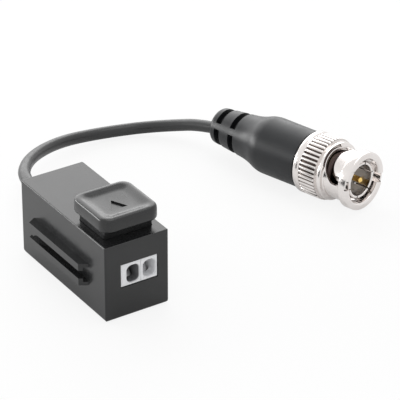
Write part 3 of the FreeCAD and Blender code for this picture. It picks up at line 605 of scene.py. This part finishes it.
def bayonet_line(steps=6):
    """Smooth middle line of a bayonet slot, unrolled at its middle radius: (arc length, distance back)."""
    p = [Vector((math.radians(angle) * BAYONET_REF_R, s)) for angle, s in BAYONET_PATH]
    p = [p[0] * 2 - p[1]] + p + [p[-1] * 2 - p[-2]]
    line = []
    for a, b, c, d in zip(p, p[1:], p[2:], p[3:]):
        for k in range(steps):
            t = k / steps
            line.append((b * 2 + (c - a) * t + (a * 2 - b * 5 + c * 4 - d) * t ** 2
                         + (b * 3 - a - c * 3 + d) * t ** 3) / 2)
    return line + [p[-2]]


def aside(ahead):
    return Vector((-ahead.y, ahead.x))


def slot_end(middle, ahead, half):
    """Half circle round the end of a slot, from one wall to the other."""
    angles = [math.pi * k / 14 for k in range(1, 14)]
    return [middle + (ahead * math.sin(a) - aside(ahead) * math.cos(a)) * half for a in angles]


def bayonet_slot(half_turn):
    """Cut of one curved slot with round ends, from inside the bore to beyond the knurl.

    It is a little wider from the waist's surface outward.
    """
    wider = 0.1
    line = bayonet_line()
    along = [(b - a).normalized() for a, b in zip(line, line[1:])]
    along.append(along[-1])
    rings = []
    for radius, half in ((4.2, BAYONET_HALF), (WAIST_R - 0.08, BAYONET_HALF),
                         (WAIST_R + 0.04, BAYONET_HALF + wider), (KNURL_R + 0.2, BAYONET_HALF + wider)):
        near = [point - aside(ahead) * half for point, ahead in zip(line, along)]
        far = [point + aside(ahead) * half for point, ahead in zip(line, along)]
        loop = near + slot_end(line[-1], along[-1], half) + far[::-1] + slot_end(line[0], -along[0], half)
        ring = []
        for x, s in loop:
            angle = -math.radians(half_turn + math.degrees(x / BAYONET_REF_R))
            ring.append((radius * math.cos(angle), radius * math.sin(angle), -s))
        rings.append(ring)
    return cut("bayonet_slot", *skinned(rings))


def radial_cut(name, angle, inner, outer, half, depth):
    """Cut of a box that lies along the radius at that angle, from before the mouth back to depth."""
    verts, faces = box(inner, outer, -half, half, -depth, 1.0)
    turn = Matrix.Rotation(-math.radians(angle), 4, "Z")
    return cut(name, [tuple(turn @ Vector(v)) for v in verts], faces)


def nut_outline():
    """(radius, distance back) of flange, waist, ring, knurl and rear lip, and back through the bore."""
    flange_end, waist_end, ring_end = 2.4, 7.1, 8.2
    recess, neck, neck_start, neck_end = 5.6, 4.3, 9.6, 11.0
    outer = [
        (NUT_BORE + 0.35, 0), (FLANGE_R - 0.25, 0), (FLANGE_R, 0.25),
        (FLANGE_R, flange_end - 0.25), (FLANGE_R - 0.25, flange_end),
        (WAIST_R + 0.1, flange_end + 0.05), (WAIST_R, flange_end + 0.35),
        (WAIST_R, waist_end - 0.25), (WAIST_R + 0.12, waist_end),
        (RING_R - 0.12, waist_end + 0.05), (RING_R, waist_end + 0.25),
        (RING_R, ring_end - 0.15), (RING_R - 0.2, ring_end), (RING_R - 0.25, ring_end + 0.25),
        (KNURL_R - 0.15, KNURL_START), (KNURL_R, KNURL_START + 0.2),
        (KNURL_R, KNURL_END - 0.15), (KNURL_R - 0.12, KNURL_END), (KNURL_R - 0.28, KNURL_END + 0.15),
        (KNURL_R - 0.12, KNURL_END + 0.35), (KNURL_R, KNURL_END + 0.45),
        (KNURL_R, NUT_LENGTH - 0.25), (KNURL_R - 0.25, NUT_LENGTH),
    ]
    inner = [(recess, NUT_LENGTH), (recess, neck_end), (neck, neck_end), (neck, neck_start),
             (NUT_BORE, neck_start), (NUT_BORE, 0.3)]
    return softened(outer + inner, 0.1, 2)


def make_nut():
    """Knurled coupling nut with two bayonet slots, and to each a keyway and a notch in the mouth's face."""
    def knurled(r, s, i):
        """Radius with the grooves cut in, between the eased edges of the knurl."""
        in_knurl = KNURL_START + 0.03 < s < KNURL_END - 0.02 and r > RING_R
        return r - GROOVE[i % len(GROOVE)] if in_knurl else r

    entry, entry_back = BAYONET_PATH[0]
    steps = []
    for half_turn in (0, 180):
        steps.append(bayonet_slot(half_turn))
        for reach, depth in ((KEYWAY_R, entry_back), (NOTCH_R, NOTCH_DEPTH)):
            steps.append(radial_cut("keyway", entry + half_turn, KEYWAY_INNER, reach, BAYONET_HALF, depth))
    mesh = carve(*turned(nut_outline(), GROOVES * len(GROOVE), knurled), steps, PLUG)
    finished("bayonet_nut", mesh, "nickel_plate", "nut", "coupling_nut", 30.0)


def make_contact_sleeve():
    bore, outside, front, rear = 3.45, 4.15, 0.95, 7.9
    outline = softened([(bore + 0.15, front), (outside - 0.2, front), (outside, front + 0.3),
                        (outside, rear), (bore, rear), (bore, front + 0.15)], 0.08, 2)
    slits = [radial_cut("slit", FIRST_SLIT + 360 / SLITS * k, bore - 1, outside + 1, SLIT_HALF, SLIT_DEPTH)
             for k in range(SLITS)]
    mesh = carve(*turned(outline, 160), slits, PLUG)
    finished("contact_sleeve", mesh, "nickel_plate", "balun", "outer_contact", 30.0)


def make_contact_pin():
    tip, pin_r, shank_r, shank_start, rear = 0.9, 0.68, 0.9, 5.2, 17.0
    outline = softened([(0, tip), (0.32, tip + 0.02), (0.6, tip + 0.3), (pin_r, tip + 0.7),
                        (pin_r, shank_start), (shank_r, shank_start), (shank_r, rear), (0, rear)],
                       0.06, closed=False)
    mesh_piece("contact_pin", *turned_rod(outline, 48), "gold_plate", "balun", "centre_pin", PLUG)


def boot_side():
    """(radius, distance back) along the boot's outside: grip, shoulder, waist and tapering tail."""
    rows, steps = 6, 24
    grip_start = BOOT_FACE + 0.4
    side = [(GRIP_R - 0.06 * (1 - k / rows), grip_start + (GRIP_END - grip_start) * k / rows)
            for k in range(rows + 1)]
    r, s = GRIP_R, GRIP_END
    for start, end, radius in SHOULDER:
        signed = math.copysign(radius, end - start)
        for k in range(1, 13):
            a0, a1 = (math.radians(start + (end - start) * f / 12) for f in (k - 1, k))
            r -= signed * (math.cos(a0) - math.cos(a1))
            s += signed * (math.sin(a1) - math.sin(a0))
            side.append((r, s))
    step = (BOOT_END - 0.5 - s) / steps
    return side + [(r - step * k * math.tan(TAPER), s + step * k) for k in range(1, steps + 1)]


def make_boot():
    """Moulded strain relief whose tail has two rows of slots."""
    side = boot_side()

    def radius_at(s):
        """Radius of the tail, which tapers evenly, at that distance back."""
        for (r0, s0), (r1, s1) in zip(side, side[1:]):
            if s0 <= s <= s1:
                return r0 + (r1 - r0) * (s - s0) / (s1 - s0)

    edges = [at + off for at, _ in BOOT_SLOTS
             for off in (-SLOT_HALF - SLOT_EASE, -SLOT_HALF, SLOT_HALF, SLOT_HALF + SLOT_EASE)]
    slot_rows = [(radius_at(s), s) for s in edges]
    nose = [(BOOT_BORE, BOOT_FRONT), (BOOT_CUP_R, BOOT_FRONT), (BOOT_CUP_R, BOOT_FACE),
            (GRIP_R - 0.28, BOOT_FACE), (GRIP_R - 0.06, BOOT_FACE + 0.22)]
    end_r = side[-1][0]
    rear = [(end_r - 0.1, BOOT_END - 0.3), (end_r - 0.25, BOOT_END - 0.1), (end_r - 0.45, BOOT_END),
            (1.9, BOOT_END), (1.55, BOOT_END - 0.25), (BOOT_BORE, BOOT_END - 0.3)]
    outline = nose + sorted(side + slot_rows, key=lambda point: point[1]) + rear
    count = 180

    def slotted(r, s, i):
        """Radius with the slots cut in, but for a bridge of even width at two opposite places."""
        angle = 360.0 * i / count
        for at, floor in BOOT_SLOTS:
            if abs(s - at) <= SLOT_HALF + 1e-6 and r > floor:
                away = min(abs((-angle - BRIDGE_AT - turn + 180) % 360 - 180) for turn in (0, 180))
                if math.radians(away) * r > BRIDGE_HALF:
                    return floor
        return r

    mesh_piece("strain_boot", *turned(outline, count, slotted), "boot_black", "balun", "boot", PLUG, 40.0)


# Cable

def make_cable():
    """The pigtail, with the plug's pieces on its end."""
    curve = bpy.data.curves.new("pigtail", "CURVE")
    curve.dimensions = "3D"
    spline = curve.splines.new("NURBS")
    spline.points.add(len(CABLE_POINTS) - 1)
    for point, place in zip(spline.points, CABLE_POINTS):
        point.co = (*(c * MM for c in place), 1)
    spline.order_u = 3
    spline.use_endpoint_u = True
    spline.resolution_u = 24
    curve.bevel_depth = CABLE_R * MM
    curve.bevel_resolution = 8
    curve.use_fill_caps = True
    curve.materials.append(MATERIALS["cable_black"])
    cable = bpy.data.objects.new("pigtail", curve)
    scene.collection.objects.link(cable)
    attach(cable, "balun")
    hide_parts("cable_jacket")


# Floor, room, lamps and camera

def seen_white(graph, straight=1.0, in_metal=1.0):
    """Share of plain white for the rays that show the surroundings, and 0 for the rays that light."""
    rays = graph.nodes.new("ShaderNodeLightPath").outputs
    mirrored = graph.number_math("MAXIMUM", rays["Is Glossy Ray"], rays["Is Transmission Ray"])
    return graph.number_math("MAXIMUM",
                             graph.number_math("MULTIPLY", rays["Is Camera Ray"], straight),
                             graph.number_math("MULTIPLY", mirrored, in_metal))


def make_floor():
    """Paper under the part, which is seen as nearly white and still shows the part's shadow."""
    mat, graph = new_material("paper_floor")
    paper = graph.nodes["Principled BSDF"]
    graph.fill(paper, Base_Color=PAPER, Roughness=0.8)
    glow = graph.nodes.new("ShaderNodeEmission")
    graph.fill(glow, Color=WHITE)
    graph.lit_and_seen(seen_white(graph, FLOOR_SEEN, FLOOR_IN_METAL), paper, glow, "Material Output")
    mesh = bpy.data.meshes.new("floor")
    corners = ((-FLOOR_HALF, -FLOOR_HALF), (FLOOR_HALF, -FLOOR_HALF), (FLOOR_HALF, FLOOR_HALF),
               (-FLOOR_HALF, FLOOR_HALF))
    mesh.from_pydata([(x, y, FLOOR_Z) for x, y in corners], [], [(0, 1, 2, 3)])
    mesh.materials.append(mat)
    floor = bpy.data.objects.new("floor", mesh)
    scene.collection.objects.link(floor)


def make_world():
    """Room that throws plain grey light and is seen as white."""
    world = bpy.data.worlds.new("studio")
    scene.world = world
    world.use_nodes = True
    graph = Graph(world.node_tree)
    room = graph.nodes["Background"]
    graph.fill(room, Color=ROOM, Strength=1.0)
    white = graph.nodes.new("ShaderNodeBackground")
    graph.fill(white, Color=WHITE)
    graph.lit_and_seen(seen_white(graph), room, white, "World Output")


def make_lamp(name, place, wide, high, power):
    light = bpy.data.lights.new(name, "AREA")
    light.shape = "RECTANGLE"
    light.size = wide
    light.size_y = high
    light.energy = power
    lamp = bpy.data.objects.new(name, light)
    scene.collection.objects.link(lamp)
    lamp.location = place
    lamp.rotation_mode = "QUATERNION"
    lamp.rotation_quaternion = (LIT_POINT - Vector(place)).to_track_quat("-Z", "Y")


def make_camera():
    """Camera that stands where the photo's did, by a fit to the housing's corners."""
    optics = bpy.data.cameras.new("camera")
    optics.sensor_width = 36.0
    optics.lens = CAMERA_LENS
    optics.clip_start = 0.01
    optics.clip_end = 20.0
    camera = bpy.data.objects.new("camera", optics)
    scene.collection.objects.link(camera)
    turn = Euler([math.radians(angle) for angle in CAMERA_TURN])
    camera.matrix_world = Matrix.LocRotScale(CAMERA_PLACE, turn, None)
    scene.camera = camera


def dress_packed_pieces():
    """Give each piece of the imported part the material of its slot."""
    slots = {part["node"]: part["material_slot"] for part in frame["record"]["subparts"]}
    for node, piece in frame["nodes"].items():
        for material_slot in piece.material_slots:
            material_slot.material = MATERIALS[slots[node]]


dress_packed_pieces()
make_camera()
make_button()
make_return_coil()
for side_name in ("left", "right"):
    make_clamp_leaf(side_name)
make_nut()
make_contact_sleeve()
make_contact_pin()
make_boot()
make_cable()
make_floor()
make_world()
for lamp_name, settings in LAMPS.items():
    make_lamp(lamp_name, **settings)
scene.view_settings.view_transform = "Standard"
